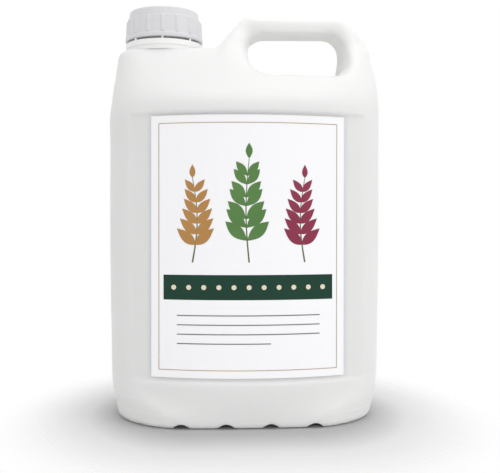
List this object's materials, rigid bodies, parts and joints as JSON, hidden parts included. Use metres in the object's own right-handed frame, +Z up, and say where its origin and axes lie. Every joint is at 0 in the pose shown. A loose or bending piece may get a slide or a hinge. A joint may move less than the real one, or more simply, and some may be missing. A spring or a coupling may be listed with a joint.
{
  "type": "oil bottle with handle",
  "caption": "Blow-moulded oil can with a hollow side handle, a recessed label panel, a threaded neck, a ribbed screw cap with a foam liner and a tamper band.",
  "frame": {"origin": "middle of the base, on the surface that the bottle stands on", "axes": "+Z up, -Y towards the label, +X towards the handle, neck at -X"},
  "size_m": [0.1858, 0.1432, 0.2815],
  "materials": {
    "white_bottle": "satin blow-moulded polyethylene",
    "white_cap": "smooth injection-moulded polyethylene",
    "foam_liner": "closed-cell polyethylene foam",
    "white_band": "smooth injection-moulded polyethylene",
    "printed_label": "printed white film"
  },
  "bodies": {
    "bottle": {"bottle_body": "white_bottle", "bottle_shoulder": "white_bottle", "bottle_handle": "white_bottle", "neck_finish": "white_bottle", "front_label": "printed_label"},
    "liner": {"cap_liner": "foam_liner"},
    "cap": {"screw_cap": "white_cap"},
    "band": {"tamper_band": "white_band"}
  },
  "joints": [
    {"name": "cap_rise", "type": "slide", "parent": "bottle", "child": "liner", "axis": [0, 0, 1], "range_m": [0, 0.0211]},
    {"name": "cap_turn", "type": "hinge", "parent": "liner", "child": "cap", "pos_m": [-0.0568, 0, 0.27], "axis": [0, 0, 1], "range_deg": [0, 1890]},
    {"name": "band_turn", "type": "hinge", "parent": "bottle", "child": "band", "pos_m": [-0.0568, 0, 0.256], "axis": [0, 0, 1], "continuous": true}
  ],
  "couplings": [
    {"joint": "cap_rise", "follows": "cap_turn", "m_per_rad": 0.00063662}
  ]
}
